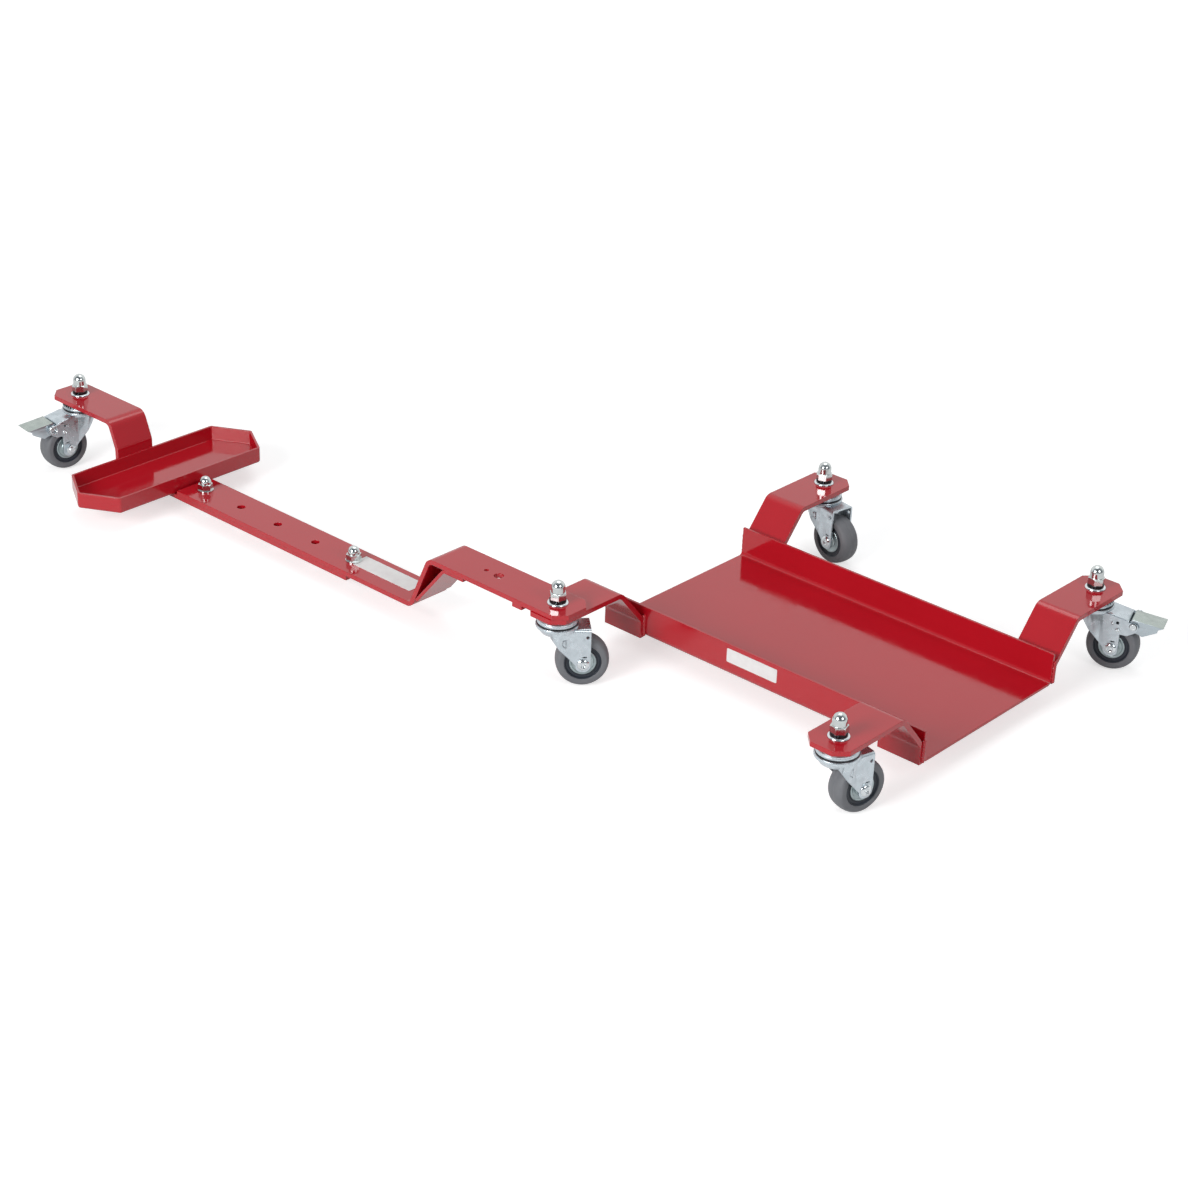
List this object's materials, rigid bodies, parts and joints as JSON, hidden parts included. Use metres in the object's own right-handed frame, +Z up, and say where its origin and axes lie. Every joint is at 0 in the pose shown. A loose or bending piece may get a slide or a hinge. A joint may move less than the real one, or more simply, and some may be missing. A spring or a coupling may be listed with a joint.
{
  "type": "motorcycle dolly",
  "caption": "Low red steel motorcycle dolly: channel deck for the rear wheel, cranked arm with a side stand tray, bent brackets and swivel casters, some braked.",
  "frame": {"origin": "centre of the whole object's footprint, on the floor the wheels stand on", "axes": "+X along the arm from the side stand tray towards the open end of the deck, +Y across the deck away from the arm, +Z up"},
  "size_m": [1.4052, 0.6874, 0.1335],
  "materials": {
    "red_paint": "gloss",
    "zinc": "satin",
    "pedal_zinc": "satin",
    "dark_steel": "satin",
    "bolt_steel": "polished",
    "chrome": "polished",
    "tread_grey": "matte",
    "core_dark": "matte",
    "hub_grey": "satin"
  },
  "bodies": {
    "frame": {"deck": "red_paint", "bracket_back_left": "red_paint", "bracket_back_right": "red_paint", "bracket_front_right": "red_paint", "bracket_front_left": "red_paint", "bracket_tray": "red_paint", "arm_bar": "red_paint", "tray_bar": "red_paint", "arm_brace": "red_paint", "arm_stop_lug": "red_paint", "side_stand_tray": "red_paint", "stem_washers": "zinc", "stem_lock_washers": "dark_steel", "stem_cap_nuts": "chrome", "arm_bolts": "zinc", "arm_cap_nuts": "chrome", "caster_heads": "zinc"},
    "tray_caster": {"tray_fork": "zinc", "tray_axle_bolt": "bolt_steel", "tray_pedal_pin": "bolt_steel"},
    "tray_wheel": {"tray_tyre": "tread_grey", "tray_rim": "core_dark", "tray_hub": "hub_grey"},
    "tray_brake": {"tray_brake_pedal": "pedal_zinc"},
    "back_left_caster": {"back_left_fork": "zinc", "back_left_axle_bolt": "bolt_steel"},
    "back_left_wheel": {"back_left_tyre": "tread_grey", "back_left_rim": "core_dark", "back_left_hub": "hub_grey"},
    "back_right_caster": {"back_right_fork": "zinc", "back_right_axle_bolt": "bolt_steel", "back_right_pedal_pin": "bolt_steel"},
    "back_right_wheel": {"back_right_tyre": "tread_grey", "back_right_rim": "core_dark", "back_right_hub": "hub_grey"},
    "back_right_brake": {"back_right_brake_pedal": "pedal_zinc"},
    "front_right_caster": {"front_right_fork": "zinc", "front_right_axle_bolt": "bolt_steel"},
    "front_right_wheel": {"front_right_tyre": "tread_grey", "front_right_rim": "core_dark", "front_right_hub": "hub_grey"},
    "front_left_caster": {"front_left_fork": "zinc", "front_left_axle_bolt": "bolt_steel"},
    "front_left_wheel": {"front_left_tyre": "tread_grey", "front_left_rim": "core_dark", "front_left_hub": "hub_grey"}
  },
  "joints": [
    {"name": "tray_swivel", "type": "hinge", "parent": "frame", "child": "tray_caster", "pos_m": [-0.66962, -0.20981, 0.0813], "axis": [0, 0, 1], "continuous": true},
    {"name": "tray_roll", "type": "hinge", "parent": "tray_caster", "child": "tray_wheel", "pos_m": [-0.67379, -0.23951, 0.03175], "axis": [0.9903, -0.1392, 0], "continuous": true},
    {"name": "tray_brake_press", "type": "hinge", "parent": "tray_caster", "child": "tray_brake", "pos_m": [-0.67702, -0.26249, 0.06555], "axis": [0.9903, -0.1392, 0], "range_deg": [0, 20]},
    {"name": "back_left_swivel", "type": "hinge", "parent": "frame", "child": "back_left_caster", "pos_m": [0.20688, 0.30019, 0.0813], "axis": [0, 0, 1], "continuous": true},
    {"name": "back_left_roll", "type": "hinge", "parent": "back_left_caster", "child": "back_left_wheel", "pos_m": [0.23643, 0.29498, 0.03175], "axis": [0.1736, 0.9848, 0], "continuous": true},
    {"name": "back_right_swivel", "type": "hinge", "parent": "frame", "child": "back_right_caster", "pos_m": [0.61488, 0.30019, 0.0813], "axis": [0, 0, 1], "continuous": true},
    {"name": "back_right_roll", "type": "hinge", "parent": "back_right_caster", "child": "back_right_wheel", "pos_m": [0.64307, 0.31045, 0.03175], "axis": [-0.342, 0.9397, 0], "continuous": true},
    {"name": "back_right_brake_press", "type": "hinge", "parent": "back_right_caster", "child": "back_right_brake", "pos_m": [0.66487, 0.31839, 0.06555], "axis": [-0.342, 0.9397, 0], "range_deg": [0, 20]},
    {"name": "front_right_swivel", "type": "hinge", "parent": "frame", "child": "front_right_caster", "pos_m": [0.61488, -0.19781, 0.0813], "axis": [0, 0, 1], "continuous": true},
    {"name": "front_right_roll", "type": "hinge", "parent": "front_right_caster", "child": "front_right_wheel", "pos_m": [0.62265, -0.16883, 0.03175], "axis": [-0.9659, 0.2588, 0], "continuous": true},
    {"name": "front_left_swivel", "type": "hinge", "parent": "frame", "child": "front_left_caster", "pos_m": [0.20688, -0.19781, 0.0813], "axis": [0, 0, 1], "continuous": true},
    {"name": "front_left_roll", "type": "hinge", "parent": "front_left_caster", "child": "front_left_wheel", "pos_m": [0.22695, -0.17551, 0.03175], "axis": [-0.7431, 0.6691, 0], "continuous": true}
  ]
}
